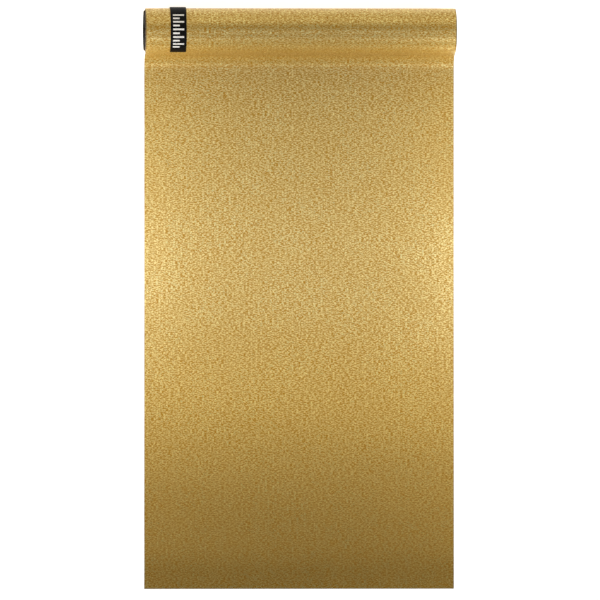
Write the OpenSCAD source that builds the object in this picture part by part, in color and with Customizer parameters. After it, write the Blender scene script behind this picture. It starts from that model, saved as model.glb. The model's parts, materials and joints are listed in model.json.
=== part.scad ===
// Roll of gold sign vinyl, partly unrolled on a table.
// X runs along the roll, +Y towards the roll, +Z up. Millimetres.
// The origin is on the table, under the middle of the whole outline.

/* [Web] */
// Width of the film and of its liner
web_w = 610; // [300:10:1220]
// Distance from the roll's axis to the free end of the sheet
run_l = 1097; // [400:1:1500]
// Thickness of the vinyl film
film_t = 0.20; // [0.15:0.01:0.25]
// Thickness of the adhesive between film and liner
adhesive_t = 0.02; // [0.01:0.01:0.04]
// Thickness of the release liner
liner_t = 0.13; // [0.10:0.01:0.18]
// Whole turns wound on the core, inside the outermost turn
turns = 5; // [2:1:8]
// How far the web is wound off the middle of the core, towards the right
web_shift = 1; // [0:0.1:2]

/* [Run off the roll] */
// Angle past the top of the roll at which the web leaves it
leave_past_top = 80; // [60:1:85]
// Radius of the bend in which the web comes down onto the table
foot_r = 30; // [15:1:40]

/* [Core] */
// Bore of the core, a standard 3 inch core
core_bore_d = 76.2; // [76:0.1:77]
// Wall of the core
core_wall = 2.6; // [2.4:0.1:6]
// Thickness of the double-sided tape that starts the web on the core
tape_t = 0.08; // [0.05:0.01:0.12]
// Length of that tape around the core, rounded to whole facets of the web
tape_l = 25; // [15:1:50]

/* [End plugs] */
// Diameter of the flange that covers the end of the core
flange_d = 79; // [78:0.1:80]
// Thickness of the flange
flange_t = 2; // [1.6:0.1:4]
// Depth of the plug inside the core
plug_depth = 28; // [20:1:45]
// Bore through the hub, for a 25 mm bar
bar_bore_d = 25.6; // [20.4:0.1:30]
// Wall of the hub
hub_wall = 3.2; // [2.4:0.1:5]
// Wall of the barrel
barrel_wall = 2.2; // [1.8:0.1:3]
// Spokes between the hub and the barrel
spokes = 6; // [3:1:10]
// Crush ribs around the barrel
crush_ribs = 12; // [6:1:24]

/* [Label] */
// Width of the label along the roll
label_w = 31.5; // [20:0.5:60]
// Distance from the left edge of the web to the label
label_inset = 48; // [20:1:150]
// Thickness of the label
label_t = 0.25; // [0.15:0.01:0.4]
// Angle past the top at which the label ends at the front
label_front = 75; // [40:5:80]
// Angle below the axis at which the label ends at the back
label_back = 45; // [15:5:75]
// How far the label lifts off the roll behind it
label_lift = 2.3; // [0:0.1:4]

/* [Hidden] */
$fn = 96;

film_gold = [0.78, 0.62, 0.31];
liner_white = [0.92, 0.91, 0.87];
kraft_brown = [0.64, 0.49, 0.33];
tape_cream = [0.86, 0.83, 0.72];
plug_black = [0.08, 0.08, 0.08];
label_black = [0.05, 0.05, 0.05];

// The web is drawn as flat facets of one angle, so that every layer follows the one below it
facet = 7.5;
// Air between two layers that touch
air = 0.01;
// Free space between the part of the roll that turns and the outermost turn
turning_gap = 0.3;

// One layer of web is liner, adhesive and film, counted outwards
film_from = liner_t + adhesive_t;
web_t = film_from + film_t;
pitch = web_t + air;

core_r = core_bore_d / 2 + core_wall;
tape_r = core_r / cos(facet / 2) + air;
wound_r = tape_r + tape_t + air;
outer_turn_r = wound_r + pitch * turns + web_t + turning_gap;

// Angles go from +Y over the top of the roll towards -Y
leave = 90 + leave_past_top;
outer_turn_start = leave - 360;
wound_start = facet * ceil((outer_turn_start - 360 * turns) / facet);
tape_end = wound_start + facet * round(tape_l / core_r * 180 / PI / facet);

// The roll rests on the table at the bottom of its outermost turn
axis_z = outer_turn_r + pitch * (270 - leave) / 360 + web_t;

// The run from the roll to the table: straight down, then a bend
leave_r = outer_turn_r + pitch;
bend_r = foot_r + web_t;
drop = axis_z + leave_r * sin(leave);
straight_l = (drop - bend_r * (1 - cos(leave_past_top))) / sin(leave_past_top);

// Crush ribs, spokes and pry notches of the plugs
rib_clearance = 0.05;
rib_h = 0.45;
rib_w = 1.6;
spoke_t = 2;
spoke_depth = plug_depth - 8;
lead_in = 1.2;
rim_round = 0.5;
recess = 0.8;
notch_w = 9;
notch_depth = 1.6;
hub_r = bar_bore_d / 2 + hub_wall;
rib_r = core_bore_d / 2 - rib_clearance;
barrel_r = rib_r - rib_h;

// Label angles, from behind the roll to its front
label_start = -label_back;
label_end = 90 + min(label_front, leave_past_top);
lift_end = 70;

function reversed(list) = [for (i = [len(list) - 1 : -1 : 0]) list[i]];

// Angles from a to b, with every facet's own angle between them
function facets(a, b) =
    concat([a], [for (k = [floor(a / facet) + 1 : ceil(b / facet) - 1]) k * facet], [b]);

// A point at this angle on a layer whose turn starts at radius r and angle start
function on_spiral(angle, start, r) =
    let (at = r + pitch * (angle - start) / 360)
    [axis_y + at * cos(angle), axis_z + at * sin(angle)];

// The same layer as a closed outline, from depth a to depth b of one thickness of web
function wound_outline(a, b) =
    let (angles = facets(wound_start, outer_turn_start))
    concat(
        [for (t = angles) on_spiral(t, wound_start, wound_r + a)],
        [for (t = reversed(angles)) on_spiral(t, wound_start, wound_r + b)]
    );

// The outermost turn at this depth: once around the roll, straight down and round onto the table
function outer_path(depth) = concat(
    [for (t = facets(outer_turn_start, leave)) on_spiral(t, outer_turn_start, outer_turn_r + depth)],
    [
        for (t = facets(0, leave_past_top))
        bend_centre + (bend_r - depth) * [cos(leave + 180 - t), sin(leave + 180 - t)]
    ]
);

function outer_outline(a, b) = concat(outer_path(a), reversed(outer_path(b)));

// Radius of the label's inner face, which lifts off the film behind the roll
function label_r(angle) =
    let (
        film_r = outer_turn_r + pitch * (angle - outer_turn_start) / 360 + web_t,
        share = min(1, max(0, (lift_end - angle) / (lift_end - label_start)))
    )
    film_r + air + label_lift * pow(sin(180 * share), 2);

function label_arc(depth, y) = [
    for (t = facets(label_start, label_end))
    [y, axis_z] + (label_r(t) + depth) * [cos(t), sin(t)]
];

function label_outline() = concat(label_arc(0, axis_y), reversed(label_arc(label_t, axis_y)));

// The outline reaches from the free end of the sheet to the back of the label
back_reach = max([for (p = label_arc(label_t, 0)) p[0]]);
axis_y = (run_l - back_reach) / 2;

// The middle of the bend, which stands over the line where the sheet starts to lie flat
bend_centre = on_spiral(leave, outer_turn_start, outer_turn_r)
    + straight_l * [-sin(leave), cos(leave)]
    + bend_r * [cos(leave), sin(leave)];
free_end_y = axis_y - run_l;

// Draws an outline given in Y and Z, as wide as this along X, in the middle of the web
module across(width) {
    translate([web_shift, 0, 0])
        rotate([90, 0, 90])
            linear_extrude(height = width, center = true)
                children();
}

// Puts something drawn along +Z on the roll's axis, pointing along -X or +X from its left or right end
module at_end(side) {
    translate([side * web_w / 2, axis_y, axis_z])
        rotate([0, side * 90, 0])
            children();
}

module core_tube() {
    color(kraft_brown)
        translate([0, axis_y, axis_z])
            rotate([0, 90, 0])
                difference() {
                    cylinder(h = web_w, r = core_r, center = true);
                    cylinder(h = web_w + 2, d = core_bore_d, center = true);
                }
}

module core_tape() {
    angles = facets(wound_start, tape_end);
    color(tape_cream)
        across(web_w - 6)
            polygon(concat(
                [for (t = angles) [axis_y, axis_z] + tape_r * [cos(t), sin(t)]],
                [for (t = reversed(angles)) [axis_y, axis_z] + (tape_r + tape_t) * [cos(t), sin(t)]]
            ));
}

module film_roll() {
    color(film_gold) across(web_w) polygon(wound_outline(film_from, web_t));
}

module liner_roll() {
    color(liner_white) across(web_w) polygon(wound_outline(0, liner_t));
}

module film_outer_turn() {
    color(film_gold) across(web_w) polygon(outer_outline(film_from, web_t));
}

module liner_outer_turn() {
    color(liner_white) across(web_w) polygon(outer_outline(0, liner_t));
}

// One layer of the web where it lies flat on the table
module flat_layer(from, thickness) {
    translate([web_shift - web_w / 2, free_end_y, from])
        cube([web_w, bend_centre[0] - free_end_y, thickness]);
}

module film_sheet() {
    color(film_gold) flat_layer(film_from, film_t);
}

module liner_sheet() {
    color(liner_white) flat_layer(0, liner_t);
}

// Half section of a plug, in radius and height: flange above zero, barrel and hub below
module plug_section() {
    polygon([
        [bar_bore_d / 2, flange_t],
        [hub_r + 1, flange_t],
        [hub_r + 1 + recess, flange_t - recess],
        [barrel_r - barrel_wall - recess, flange_t - recess],
        [barrel_r - barrel_wall, flange_t],
        [flange_d / 2 - rim_round, flange_t],
        [flange_d / 2, flange_t - rim_round],
        [flange_d / 2, 0],
        [barrel_r, 0],
        [barrel_r, lead_in - plug_depth],
        [barrel_r - lead_in / 2, -plug_depth],
        [barrel_r - barrel_wall, -plug_depth],
        [barrel_r - barrel_wall, 0],
        [hub_r, 0],
        [hub_r, -plug_depth],
        [bar_bore_d / 2, -plug_depth]
    ]);
}

// A plug drawn along +Z, with the core's end face at zero
module end_plug() {
    spoke_l = barrel_r - barrel_wall - hub_r + 1;
    difference() {
        union() {
            rotate_extrude() plug_section();
            for (i = [0 : spokes - 1])
                rotate(i * 360 / spokes)
                    translate([hub_r - 0.5, -spoke_t / 2, -spoke_depth])
                        cube([spoke_l, spoke_t, spoke_depth + 0.5]);
            for (i = [0 : crush_ribs - 1])
                rotate((i + 0.5) * 360 / crush_ribs)
                    translate([barrel_r - 0.5, -rib_w / 2, 4 - plug_depth])
                        cube([rib_h + 0.5 - 0.01, rib_w, plug_depth - 4 + 0.5]);
        }
        for (side = [-1, 1])
            translate([side * flange_d / 2 - notch_depth, -notch_w / 2, -1])
                cube([2 * notch_depth, notch_w, flange_t + 2]);
    }
}

module left_end_plug() {
    color(plug_black) at_end(-1) end_plug();
}

module right_end_plug() {
    color(plug_black) at_end(1) end_plug();
}

module label() {
    color(label_black)
        translate([label_inset + (label_w - web_w) / 2, 0, 0])
            across(label_w)
                polygon(label_outline());
}

core_tube();
core_tape();
film_roll();
liner_roll();
film_outer_turn();
liner_outer_turn();
film_sheet();
liner_sheet();
left_end_plug();
right_end_plug();
label();
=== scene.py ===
"""The looks of a roll of gold sign vinyl, partly unrolled on a table. Metres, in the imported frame."""

import json
import math

import bpy
import numpy as np
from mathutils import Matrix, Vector


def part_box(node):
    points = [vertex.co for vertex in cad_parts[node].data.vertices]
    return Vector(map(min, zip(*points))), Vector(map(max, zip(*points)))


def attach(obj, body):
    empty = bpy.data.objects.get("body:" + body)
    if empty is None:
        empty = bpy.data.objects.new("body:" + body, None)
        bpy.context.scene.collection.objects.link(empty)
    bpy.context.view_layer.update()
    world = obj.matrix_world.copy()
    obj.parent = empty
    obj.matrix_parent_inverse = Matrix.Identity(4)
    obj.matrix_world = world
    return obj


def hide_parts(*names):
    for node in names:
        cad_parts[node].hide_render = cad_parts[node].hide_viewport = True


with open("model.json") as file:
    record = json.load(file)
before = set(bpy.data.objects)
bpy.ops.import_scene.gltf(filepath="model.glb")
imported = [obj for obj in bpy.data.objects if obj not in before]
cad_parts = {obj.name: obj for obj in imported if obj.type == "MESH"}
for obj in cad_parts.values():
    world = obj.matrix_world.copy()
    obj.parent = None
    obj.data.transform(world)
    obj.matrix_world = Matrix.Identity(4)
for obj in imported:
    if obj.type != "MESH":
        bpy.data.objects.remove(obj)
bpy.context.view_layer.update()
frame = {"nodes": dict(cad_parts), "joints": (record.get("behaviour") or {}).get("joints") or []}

MM = 0.001

# ---- What the frame says -------------------------------------------------------------------

SPIN = next(j for j in frame["joints"] if j["name"] == "roll_spin")
AXIS_Y, AXIS_Z = SPIN["pos_m"][1], SPIN["pos_m"][2]
SHEET_LOW, SHEET_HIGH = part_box("film_sheet")
LINER_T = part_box("liner_sheet")[1].z
FILM_FROM, WEB_T = SHEET_LOW.z, SHEET_HIGH.z
WEB_W = SHEET_HIGH.x - SHEET_LOW.x
WEB_X = (SHEET_HIGH.x + SHEET_LOW.x) / 2
FREE_END_Y, FOOT_Y = SHEET_LOW.y, SHEET_HIGH.y
LABEL_LOW, LABEL_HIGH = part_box("label")
LABEL_W = LABEL_HIGH.x - LABEL_LOW.x

# ---- What the CAD was drawn with -----------------------------------------------------------

# Angles go from +Y over the top of the roll towards -Y
TURN = 2 * math.pi
TOP = math.radians(90)

# The winding of the web, whose wound part starts on a whole facet of the CAD
AIR = 0.01 * MM
PITCH = WEB_T + AIR
TURNS = 5
LEAVE_PAST_TOP = math.radians(80)
LEAVE = TOP + LEAVE_PAST_TOP
OUTER_START = LEAVE - TURN
FACET = math.radians(7.5)
WOUND_START = FACET * math.ceil((OUTER_START - TURNS * TURN) / FACET)
BEND_R = 30 * MM + WEB_T

# The label, from behind the roll to its front, and how it lifts off the roll behind it
LABEL_START = math.radians(-45)
LABEL_END = math.radians(165)
LIFT_END = math.radians(70)
LABEL_LIFT = 2.3 * MM
LABEL_T = 0.25 * MM


def radius_at_top(node, start, top):
    """The inner radius at which a spiral node starts, from the height of its outermost layer's top."""
    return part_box(node)[1].z - AXIS_Z - WEB_T - PITCH * (top - start) / TURN


OUTER_R = radius_at_top("film_outer_turn", OUTER_START, TOP)
WOUND_R = radius_at_top("film_roll", WOUND_START, TOP - TURN)

# ---- Mesh helpers --------------------------------------------------------------------------

# The faces of a layer: its outer side, its inner side and its cut edges
OUTER, INNER, CUT = 0, 1, 2
SHARP_FROM = math.radians(40)


def make_piece(name, verts, faces, uvs, material, smooth=True):
    """A mesh object with one UV pair in metres for every corner of every face."""
    mesh = bpy.data.meshes.new(name)
    mesh.from_pydata([tuple(v) for v in verts], [], faces)
    layer = mesh.uv_layers.new(name="web")
    layer.data.foreach_set("uv", np.asarray(uvs, np.float32).ravel())
    mesh.polygons.foreach_set("use_smooth", [smooth] * len(mesh.polygons))
    mesh.materials.append(material)
    mesh.validate()
    piece = bpy.data.objects.new(name, mesh)
    bpy.context.scene.collection.objects.link(piece)
    return piece


def layer_piece(name, xs, inner, outer, lengths, materials):
    """A closed layer between two surfaces. inner and outer are arrays of points, along the web by
    across it; lengths are the distances along the web. materials are for the outer side, the inner
    side and the cut edges."""
    rows, columns = inner.shape[:2]
    verts = np.concatenate([inner.reshape(-1, 3), outer.reshape(-1, 3)])
    faces, uvs, kinds = [], [], []

    def add(corners, kind):
        """One face, from the row, the column and the side (0 inner, 1 outer) of each corner."""
        faces.append([(side * rows + i) * columns + j for i, j, side in corners])
        uvs.extend((xs[j], lengths[i] + (side * WEB_T if kind == CUT else 0)) for i, j, side in corners)
        kinds.append(kind)

    end, last = rows - 1, columns - 1
    for i in range(end):
        for j in range(last):
            add([(i, j, 1), (i, j + 1, 1), (i + 1, j + 1, 1), (i + 1, j, 1)], OUTER)
            add([(i, j, 0), (i + 1, j, 0), (i + 1, j + 1, 0), (i, j + 1, 0)], INNER)
        add([(i, 0, 0), (i, 0, 1), (i + 1, 0, 1), (i + 1, 0, 0)], CUT)
        add([(i, last, 1), (i, last, 0), (i + 1, last, 0), (i + 1, last, 1)], CUT)
    for j in range(last):
        add([(0, j, 0), (0, j + 1, 0), (0, j + 1, 1), (0, j, 1)], CUT)
        add([(end, j, 1), (end, j + 1, 1), (end, j + 1, 0), (end, j, 0)], CUT)
    piece = make_piece(name, verts, faces, uvs, materials[OUTER])
    piece.data.materials.append(materials[INNER])
    piece.data.materials.append(materials[CUT])
    piece.data.polygons.foreach_set("material_index", kinds)
    piece.data.set_sharp_from_angle(angle=SHARP_FROM)
    return piece


# ---- The path of the web -------------------------------------------------------------------

# How finely the meshes follow the path
WEB_STEP = math.radians(3)
LABEL_STEP = math.radians(2)
BEND_POINTS = 28
FLAT_POINTS = 90

# The sheet stands off the table in waves, and in the curl that it keeps from the roll
WAVE_LIFT = 0.35 * MM
CURL_LIFT = 1.1 * MM
CURL_FROM_END = 60 * MM
CURL_REACH = 45 * MM


def spiral(start, end, start_r, step):
    """Angles, points (y, z) and outward normals along a spiral of one pitch a turn."""
    count = round((end - start) / step)
    angles = np.linspace(start, end, count + 1)
    radii = start_r + PITCH * (angles - start) / TURN
    normals = np.stack([np.cos(angles), np.sin(angles)], axis=1)
    return angles, np.array([AXIS_Y, AXIS_Z]) + radii[:, None] * normals, normals


def run_off():
    """The web's inner face from the roll to the free end, after the spiral: down, round and along."""
    leave_r = OUTER_R + PITCH
    off = np.array([math.cos(LEAVE), math.sin(LEAVE)])
    down = np.array([-math.sin(LEAVE), math.cos(LEAVE)])
    corner = np.array([AXIS_Y, AXIS_Z]) + leave_r * off
    drop = corner[1]
    straight = (drop - BEND_R * (1 - math.cos(LEAVE_PAST_TOP))) / math.sin(LEAVE_PAST_TOP)
    points = [corner + straight * share * down for share in (0.25, 0.5, 0.75)]
    normals = [off] * len(points)
    middle = corner + straight * down + BEND_R * off
    for angle in np.linspace(0, LEAVE_PAST_TOP, BEND_POINTS):
        turned = np.array([math.cos(LEAVE - angle), math.sin(LEAVE - angle)])
        points.append(middle - BEND_R * turned)
        normals.append(turned)
    for y in np.linspace(middle[0], FREE_END_Y, FLAT_POINTS)[1:]:
        points.append(np.array([y, 0.0]))
        normals.append(np.array([0.0, 1.0]))
    return np.array(points), np.array(normals)


def distances(points):
    """How far along the path each point is."""
    steps = np.linalg.norm(np.diff(points, axis=0), axis=1)
    return np.concatenate([[0], np.cumsum(steps)])


def surface(points, normals, depth, xs, lift):
    """The web at this depth, with the lift of the flat part added to every layer alike."""
    line = points + depth * normals
    grid = np.empty((len(line), len(xs), 3))
    grid[:, :, 0] = xs[None, :]
    grid[:, :, 1] = line[:, 0][:, None]
    grid[:, :, 2] = line[:, 1][:, None] + lift
    return grid


def no_lift(points, xs):
    return np.zeros((len(points), len(xs)))


def smoothstep(low, high, value):
    """0 up to low and 1 from high on, with a smooth change between them."""
    share = np.clip((value - low) / (high - low), 0, 1)
    return share * share * (3 - 2 * share)


def sheet_lift(points, xs):
    """How far the sheet stands off the table at each point: nothing at the foot and the free end."""
    y, z = points[:, 0][:, None], points[:, 1][:, None]
    x = xs[None, :]
    from_foot = FOOT_Y - y
    from_end = y - FREE_END_Y
    on_table = smoothstep(0.02, 0.16, from_foot) * (z < 0.001 * MM)
    settled = smoothstep(0.0, 0.05, from_end)
    wave = (
        1.0
        + 0.6 * np.sin(from_foot * 21.0 + 2.1 * x)
        + 0.4 * np.sin(from_foot * 37.0 - 6.3 * x + 1.2)
    )
    curl = np.exp(-(((from_end - CURL_FROM_END) / CURL_REACH) ** 2))
    return on_table * settled * (WAVE_LIFT * wave + CURL_LIFT * curl)


# ---- Materials -----------------------------------------------------------------------------


class Recipe:
    """The node tree of a material or world, written one node at a time. Inputs are numbers, colours
    or sockets."""

    def __init__(self, owner):
        self.owner = owner
        self.owner.use_nodes = True
        self.tree = owner.node_tree
        self.tree.nodes.clear()

    def add(self, kind, inputs=None, out=0, **settings):
        node = self.tree.nodes.new("ShaderNode" + kind)
        for key, value in settings.items():
            setattr(node, key, value)
        for key, value in (inputs or {}).items():
            self.feed(node.inputs[key], value)
        return node.outputs[out] if len(node.outputs) else None

    def feed(self, socket, value):
        if isinstance(value, bpy.types.NodeSocket):
            self.tree.links.new(value, socket)
        else:
            socket.default_value = value

    def math(self, operation, a, b=0.0, clamp=False):
        return self.add("Math", {0: a, 1: b}, operation=operation, use_clamp=clamp)

    def times(self, a, b):
        return self.math("MULTIPLY", a, b)

    def part(self, vector, axis):
        """One part of a vector: 0, 1 or 2 for x, y or z."""
        return self.add("SeparateXYZ", {"Vector": vector}, out=axis)

    def noise(self, vector, scale, detail=3.0, roughness=0.5):
        return self.add(
            "TexNoise", {"Vector": vector, "Scale": scale, "Detail": detail, "Roughness": roughness}
        )

    def scaled(self, vector, scale, turn=0.0):
        """The vector turned about z, then scaled."""
        return self.add("Mapping", {"Vector": vector, "Rotation": (0, 0, turn), "Scale": scale})

    def mix_colour(self, share, a, b):
        return self.add("Mix", {0: share, 6: a, 7: b}, out=2, data_type="RGBA")

    def mix_value(self, share, a, b):
        return self.add("Mix", {0: share, 2: a, 3: b}, out=0, data_type="FLOAT")

    def rescale(self, value, low, high, to_low=0.0, to_high=1.0, curve="LINEAR"):
        ends = {"Value": value, "From Min": low, "From Max": high, "To Min": to_low, "To Max": to_high}
        return self.add("MapRange", ends, interpolation_type=curve)

    def bump(self, height, distance, strength=1.0):
        return self.add("Bump", {"Height": height, "Distance": distance, "Strength": strength})

    def finish(self, **inputs):
        """Ends the tree in one Principled shader; the names of its inputs are given with _ for space."""
        named = {key.replace("_", " "): value for key, value in inputs.items()}
        shader = self.add("BsdfPrincipled", named)
        self.add("OutputMaterial", {"Surface": shader})
        return self.owner


def new_recipe(name):
    return Recipe(bpy.data.materials.new(name))


def web_coordinates(recipe):
    """The distances across and along the web, in metres."""
    return recipe.add("UVMap", uv_map="web")


# The emboss of the film: how many streaks to the metre along them and across them
STREAK = (210.0, 600.0, 1.0)
THREAD_PITCH = 0.7 * MM
GOLD_DEEP = (0.46, 0.215, 0.006, 1)
GOLD_BRIGHT = (1.00, 0.88, 0.370, 1)

# Painted shade along the film's slit edges and free end, a brown band for the dark edge line: it starts
# and is full at these distances from them
EDGE_SHADE_FROM, EDGE_SHADE_FULL = 1.5 * MM, 0.3 * MM
EDGE_SHADE_BROWN = (0.11, 0.08, 0.03, 1)


def crossed_streaks(m, web, turn):
    """Short streaks in two directions at right angles, whichever stands higher."""
    heights = [m.noise(m.scaled(web, STREAK, turn + side), 1.0, 2.0) for side in (0.0, math.pi / 2)]
    return m.math("MAXIMUM", *heights)


def gold_film(free_end):
    """Gold film embossed like linen: short crossed streaks, pale and metallic on a deeper gold.
    free_end is how far along the web its free end is."""
    m = new_recipe("gold_film")
    web = web_coordinates(m)
    across, along = m.part(web, 0), m.part(web, 1)

    # Streaks, square to the web or slanted where the emboss was pulled
    pull = m.rescale(m.noise(web, 7.0, 1.0), 0.42, 0.58)
    square = crossed_streaks(m, web, 0.0)
    slanted = crossed_streaks(m, web, math.radians(45))
    streak = m.rescale(m.mix_value(pull, square, slanted), 0.50, 0.66)

    # Fine threads over the streaks, with a wandering pitch
    wander = m.times(m.noise(web, 220.0, 2.0), 2.0)
    threads = [
        m.math("SINE", m.math("ADD", m.times(place, TURN / THREAD_PITCH), wander))
        for place in (across, along)
    ]
    weave = m.times(*threads)
    tone = m.math("ADD", streak, m.times(weave, 0.08), clamp=True)
    gold = m.mix_colour(tone, GOLD_DEEP, GOLD_BRIGHT)

    # Painted shade: the slit edges and the free end are darkened towards brown
    off_middle = m.math("ABSOLUTE", m.math("SUBTRACT", across, WEB_X))
    near_edges = [
        m.rescale(place, edge - EDGE_SHADE_FROM, edge - EDGE_SHADE_FULL)
        for place, edge in ((off_middle, WEB_W / 2), (along, free_end))
    ]
    # Painted edge shade, three quarters strong at the very edge
    edge_shade = m.times(m.math("MAXIMUM", *near_edges), 0.75)
    return m.finish(
        Base_Color=m.mix_colour(edge_shade, gold, EDGE_SHADE_BROWN),
        Metallic=m.rescale(tone, 0.0, 1.0, 0.08, 0.70),
        Roughness=m.rescale(tone, 0.0, 1.0, 0.42, 0.27),
        Specular_IOR_Level=0.3,
        Normal=m.bump(tone, 0.15 * MM, 0.35),
    )


def coated_paper(name):
    """White coated release paper with a faint fibre, and the white back of the film."""
    m = new_recipe(name)
    web = web_coordinates(m)
    fibre = m.noise(m.scaled(web, (900.0, 2200.0, 1.0)), 1.0, 4.0, 0.65)
    cloud = m.noise(web, 60.0)
    tone = m.times(m.math("ADD", fibre, cloud), 0.5)
    return m.finish(
        Base_Color=m.mix_colour(tone, (0.78, 0.76, 0.70, 1), (0.90, 0.89, 0.85, 1)),
        Roughness=m.rescale(fibre, 0.3, 0.7, 0.42, 0.58),
        Normal=m.bump(fibre, 0.02 * MM, 0.5),
    )


def cut_edge(name, dark, light):
    """The slit edge of a layer, with the fine scores of the knife."""
    m = new_recipe(name)
    score = m.noise(m.scaled(web_coordinates(m), (3000.0, 500.0, 1.0)), 1.0, 2.0)
    return m.finish(
        Base_Color=m.mix_colour(score, dark, light),
        Roughness=m.rescale(score, 0.3, 0.7, 0.5, 0.7),
    )


# The width of the paper strip that the core is wound from, along the core
PLY_WIDTH = 95 * MM


def kraft_board():
    """Spiral-wound kraft board: a helical seam, long fibres and dark specks."""
    m = new_recipe("kraft_board")
    place = m.add("TexCoord", out="Object")
    y = m.math("SUBTRACT", m.part(place, 1), AXIS_Y)
    z = m.math("SUBTRACT", m.part(place, 2), AXIS_Z)
    turn = m.math("DIVIDE", m.math("ARCTAN2", z, y), TURN)
    ply = m.math("FRACT", m.math("ADD", m.math("DIVIDE", m.part(place, 0), PLY_WIDTH), turn))
    off_seam = m.rescale(m.math("ABSOLUTE", m.math("SUBTRACT", ply, 0.5)), 0.0, 0.012)
    fibre = m.noise(m.scaled(place, (160.0, 900.0, 900.0)), 1.0, 5.0, 0.65)
    speck = m.rescale(m.noise(place, 1400.0, 2.0), 0.62, 0.75)
    board = m.mix_colour(fibre, (0.17, 0.11, 0.06, 1), (0.34, 0.24, 0.15, 1))
    board = m.mix_colour(m.times(speck, 0.4), board, (0.16, 0.10, 0.06, 1))
    return m.finish(
        Base_Color=m.mix_colour(off_seam, (0.14, 0.09, 0.05, 1), board),
        Roughness=m.rescale(fibre, 0.3, 0.7, 0.78, 0.92),
        Normal=m.bump(m.math("ADD", m.times(fibre, 0.4), off_seam), 0.12 * MM, 0.7),
    )


def tape_film():
    """Cream double-sided tape, glossier in some places than in others."""
    m = new_recipe("starter_tape")
    cloud = m.noise(m.add("TexCoord", out="Object"), 120.0)
    return m.finish(
        Base_Color=m.mix_colour(cloud, (0.70, 0.66, 0.52, 1), (0.82, 0.79, 0.68, 1)),
        Roughness=m.rescale(cloud, 0.3, 0.7, 0.3, 0.5),
    )


def black_moulding():
    """Injection-moulded black plastic: a spark-eroded texture, with rubbed edges and a little dust."""
    m = new_recipe("black_moulding")
    place = m.add("TexCoord", out="Object")
    texture = m.noise(place, 2600.0, 3.0, 0.6)
    cloud = m.noise(place, 45.0, 4.0, 0.6)
    worn = m.rescale(m.add("NewGeometry", out="Pointiness"), 0.505, 0.56)
    tone = m.math("ADD", m.times(cloud, 0.35), m.times(worn, 0.25), clamp=True)
    return m.finish(
        Base_Color=m.mix_colour(tone, (0.003, 0.0027, 0.0024, 1), (0.018, 0.016, 0.014, 1)),
        Roughness=m.rescale(cloud, 0.3, 0.7, 0.50, 0.66),
        Specular_IOR_Level=0.04,
        Normal=m.bump(texture, 0.05 * MM, 0.5),
    )


# The scale printed on the label: bars across it, long and short in turn, around this angle
PRINT_MIDDLE = math.radians(93)
PRINT_BARS = 10
PRINT_PITCH = 7.6 * MM
PRINT_BAR = 3.4 * MM
PRINT_LONG = 21.6 * MM
PRINT_SHORT = 13.0 * MM


def label_print(middle):
    """Black coated label with a plain white scale of long and short bars across it. middle is how far
    along the label the middle of the scale is."""
    m = new_recipe("label_print")
    web = web_coordinates(m)

    def between(value, low, high):
        return m.times(m.math("GREATER_THAN", value, low), m.math("LESS_THAN", value, high))

    # Counted in bars from the start of the scale, with slightly ragged edges
    start = m.math("SUBTRACT", m.part(web, 1), middle)
    place = m.math("ADD", m.math("DIVIDE", start, PRINT_PITCH), PRINT_BARS / 2)
    ragged = m.times(m.math("SUBTRACT", m.noise(web, 1500.0, 2.0), 0.5), 0.06)
    off_bar = m.math("ABSOLUTE", m.math("ADD", m.math("SUBTRACT", m.math("FRACT", place), 0.5), ragged))
    bar = m.math("LESS_THAN", off_bar, PRINT_BAR / PRINT_PITCH / 2)

    odd = m.math("FLOORED_MODULO", m.math("FLOOR", place), 2.0)
    width = m.rescale(odd, 0.0, 1.0, PRINT_LONG, PRINT_SHORT)
    from_left = m.math("SUBTRACT", m.part(web, 0), (LABEL_W - PRINT_LONG) / 2)
    printed = m.times(m.times(bar, between(place, 0.0, PRINT_BARS)), between(from_left, 0.0, width))

    fibre = m.noise(m.scaled(web, (1500.0, 900.0, 1.0)), 1.0, 3.0, 0.6)
    black = m.mix_colour(fibre, (0.002, 0.002, 0.002, 1), (0.008, 0.008, 0.008, 1))
    return m.finish(
        Base_Color=m.mix_colour(printed, black, (0.96, 0.95, 0.93, 1)),
        Roughness=m.rescale(fibre, 0.3, 0.7, 0.46, 0.60),
        Specular_IOR_Level=0.09,
        Normal=m.bump(m.math("ADD", fibre, m.times(printed, 0.4)), 0.03 * MM, 0.5),
    )


# ---- The pieces ----------------------------------------------------------------------------

LINER = coated_paper("liner_paper")
FILM_BACK = coated_paper("film_back")
FILM_EDGE = cut_edge("film_edge", (0.20, 0.12, 0.04, 1), (0.42, 0.29, 0.12, 1))
LINER_EDGE = cut_edge("liner_edge", (0.62, 0.60, 0.54, 1), (0.84, 0.82, 0.76, 1))


def web_layers(prefix, points, normals, lengths, xs, lift, film):
    """The two layers of one stretch of the web, by the name of their material slot."""
    layers = {
        "film": (FILM_FROM, WEB_T, (film, FILM_BACK, FILM_EDGE)),
        "liner": (0.0, LINER_T, (LINER, LINER, LINER_EDGE)),
    }
    pieces = {}
    for slot, (low, high, materials) in layers.items():
        inner = surface(points, normals, low, xs, lift)
        outer = surface(points, normals, high, xs, lift)
        pieces[slot] = layer_piece(prefix + slot, xs, inner, outer, lengths, materials)
    return pieces


def unrolled_web():
    """The film and its liner: once round the roll, down to the table and along it."""
    xs = np.linspace(SHEET_LOW.x, SHEET_HIGH.x, 41)
    _, around, around_normals = spiral(OUTER_START, LEAVE, OUTER_R, WEB_STEP)
    off, off_normals = run_off()
    points = np.concatenate([around, off])
    normals = np.concatenate([around_normals, off_normals])
    lengths = distances(points)
    film = gold_film(lengths[-1])
    pieces = web_layers("unrolled_", points, normals, lengths, xs, sheet_lift(points, xs), film)
    stands_for = {
        "film": ("film_outer_turn", "film_sheet"),
        "liner": ("liner_outer_turn", "liner_sheet"),
    }
    for slot, piece in pieces.items():
        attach(piece, "unrolled_web")
        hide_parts(*stands_for[slot])


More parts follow.
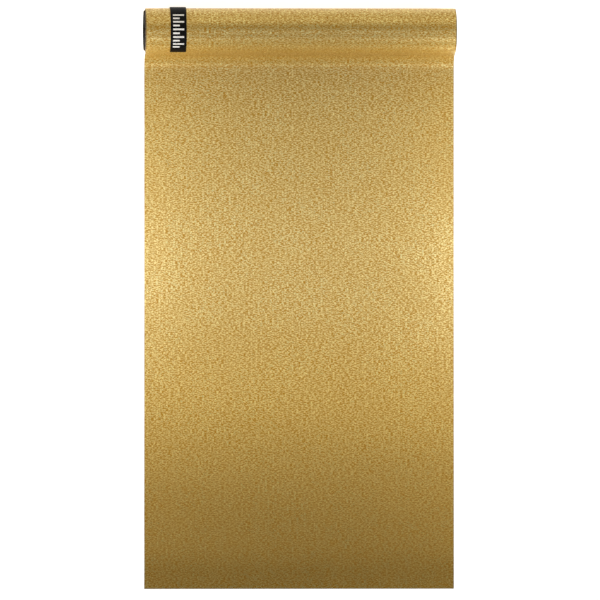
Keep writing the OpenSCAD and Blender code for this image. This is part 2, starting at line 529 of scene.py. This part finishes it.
def wound_web():
    """The turns on the core, which spin with it."""
    xs = np.linspace(SHEET_LOW.x, SHEET_HIGH.x, 3)
    _, points, normals = spiral(WOUND_START, OUTER_START, WOUND_R, WEB_STEP)
    lengths = distances(points)
    # The free end is not in this stretch, so that none of it gets the painted edge shade of an end
    film = gold_film(2 * lengths[-1])
    pieces = web_layers("wound_", points, normals, lengths, xs, no_lift(points, xs), film)
    stands_for = {"film": "film_roll", "liner": "liner_roll"}
    for slot, piece in pieces.items():
        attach(piece, "wound_roll")
        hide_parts(stands_for[slot])


def label():
    """The label, stuck over the top of the roll, lifting a little behind it."""
    start_r = OUTER_R + PITCH * (LABEL_START - OUTER_START) / TURN + WEB_T + AIR
    angles, points, normals = spiral(LABEL_START, LABEL_END, start_r, LABEL_STEP)
    share = np.clip((LIFT_END - angles) / (LIFT_END - LABEL_START), 0, 1)
    points = points + (LABEL_LIFT * np.sin(math.pi * share) ** 2)[:, None] * normals
    lengths = distances(points)
    xs = np.linspace(0, LABEL_W, 9)
    still = no_lift(points, xs)
    inner = surface(points, normals, 0.0, xs + LABEL_LOW.x, still)
    outer = surface(points, normals, LABEL_T, xs + LABEL_LOW.x, still)
    printed = label_print(float(np.interp(PRINT_MIDDLE, angles, lengths)))
    edge = cut_edge("label_edge", (0.02, 0.02, 0.02, 1), (0.05, 0.05, 0.05, 1))
    piece = layer_piece("label_strip", xs, inner, outer, lengths, (printed, edge, edge))
    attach(piece, "unrolled_web")
    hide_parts("label")


def carried_over():
    """The hard parts keep their CAD shapes and get their materials."""
    moulding = black_moulding()
    looks = {
        "core_tube": kraft_board(),
        "core_tape": tape_film(),
        "left_end_plug": moulding,
        "right_end_plug": moulding,
    }
    for node, material in looks.items():
        mesh = frame["nodes"][node].data
        mesh.materials.clear()
        mesh.materials.append(material)


unrolled_web()
wound_web()
label()
carried_over()

# ---- Table, light and camera ---------------------------------------------------------------

# The table top reaches the horizon, and lies just below the object so that the two don't touch
TABLE_HALF = 25.0
TABLE_Z = -0.05 * MM

CAMERA_LENS = 1000.0
CAMERA_TILT = math.radians(3.2)
# The width of the view, and the point of the table in the middle of it
VIEW_WIDTH = 1.1800
VIEW_MIDDLE = (0.0028, -0.0037)

ROOM_TINT = (1.0, 0.90, 0.68, 1)
HORIZON_GLOW = 0.8
BACK_GLOW = 1.18

# The light from overhead is cooler than the light from the sides, the back and the front
COOL, WARM, WARMER = (0.93, 1.0, 1.22), (1.0, 0.94, 0.78), (1.0, 0.86, 0.54)


def over_middle_line(y, height):
    """A place over the middle of the sheet, as the leaning camera sees it mirrored there, and the
    point straight below it."""
    x = height * math.tan(CAMERA_TILT)
    return (x, y, height), (x, y, 0)


# Each soft light: place, the point it faces, its two sides, its power in watts and its tint
SOFT_LIGHTS = {
    "over_middle": (*over_middle_line(0.05, 0.53), (0.9, 0.25), 0.66, COOL),
    "front_fill": (*over_middle_line(-0.20, 0.51), (0.9, 0.2), 0.50, WARMER),
    "over_left_side": ((-0.47, 0.05, 0.50), (-0.45, 0.05, 0), (0.25, 0.3), 1.08, COOL),
    "over_right_side": ((0.52, 0.05, 0.50), (0.51, 0.05, 0), (0.25, 0.3), 0.80, COOL),
    "over_roll": (*over_middle_line(0.35, 1.1), (0.9, 0.25), 0.94, COOL),
    "left_of_foot": ((-0.7, 0.36, 0.25), (-0.1, 0.36, 0), (0.3, 0.2), 2.3, WARM),
    "right_of_foot": ((0.7, 0.36, 0.25), (0.1, 0.36, 0), (0.3, 0.2), 2.3, WARM),
    "low_left_side": ((-0.6, -0.35, 0.3), (-0.1, -0.35, 0), (0.3, 0.4), 0.62, WARMER),
    "low_right_side": ((0.6, -0.35, 0.3), (0.1, -0.35, 0), (0.3, 0.4), 0.62, WARMER),
    "behind_roll": ((0, 1.1, 0.6), (0, 0.45, 0), (1.4, 0.4), 1.70, WARM),
}


def table():
    """A plain white table top, large enough to reach the horizon."""
    m = new_recipe("white_table")
    mottle = m.noise(m.add("TexCoord", out="Object"), 3.0)
    material = m.finish(
        Base_Color=m.mix_colour(mottle, (0.90, 0.90, 0.90, 1), (0.93, 0.93, 0.93, 1)),
        Roughness=0.9,
        Emission_Color=(1.0, 1.0, 1.0, 1),
        Emission_Strength=0.75,
    )
    places = [(x * TABLE_HALF, y * TABLE_HALF) for x, y in ((-1, -1), (1, -1), (1, 1), (-1, 1))]
    corners = [(x, y, 0) for x, y in places]
    top = make_piece("table_top", corners, [[0, 1, 2, 3]], places, material, smooth=False)
    top.location.z = TABLE_Z


def soft_light(name, place, aim, size, power, tint):
    """A rectangular light that faces one point."""
    data = bpy.data.lights.new(name, "AREA")
    data.shape = "RECTANGLE"
    data.size, data.size_y = size
    data.energy = power
    data.color = tint
    light = bpy.data.objects.new(name, data)
    light.location = place
    light.rotation_mode = "QUATERNION"
    light.rotation_quaternion = (Vector(aim) - Vector(place)).to_track_quat("-Z", "Y")
    bpy.context.scene.collection.objects.link(light)


def room():
    """A pale room: an even glow round the horizon, and a higher glow behind the roll."""
    world = bpy.data.worlds.new("room")
    m = Recipe(world)
    direction = m.add("TexCoord")
    height = m.part(direction, 2)
    backward = m.math("MAXIMUM", m.part(direction, 1), 0.0)

    def glow(middle, reach):
        """1 at this height of the direction, and nothing from this far above or below it."""
        off = m.math("ABSOLUTE", m.math("SUBTRACT", height, middle))
        return m.rescale(off, 0.0, reach, 1.0, 0.0, curve="SMOOTHSTEP")

    low = m.times(glow(0.05, 0.25), HORIZON_GLOW)
    back = m.times(m.times(glow(0.35, 0.35), backward), BACK_GLOW)
    background = m.add("Background", {"Color": ROOM_TINT, "Strength": m.math("ADD", low, back)})
    m.add("OutputWorld", {"Surface": background})
    bpy.context.scene.world = world


def camera():
    """Straight above, leaning a little to the left, and so far off that it sees no perspective."""
    data = bpy.data.cameras.new("camera")
    data.lens = CAMERA_LENS
    data.clip_end = 100.0
    distance = VIEW_WIDTH * CAMERA_LENS / data.sensor_width
    place = bpy.data.objects.new("camera", data)
    place.location = (
        VIEW_MIDDLE[0] - distance * math.sin(CAMERA_TILT),
        VIEW_MIDDLE[1],
        distance * math.cos(CAMERA_TILT),
    )
    place.rotation_euler = (0, -CAMERA_TILT, 0)
    bpy.context.scene.collection.objects.link(place)
    bpy.context.scene.camera = place


table()
room()
for light_name, settings in SOFT_LIGHTS.items():
    soft_light(light_name, *settings)
camera()
bpy.context.scene.view_settings.view_transform = "Standard"
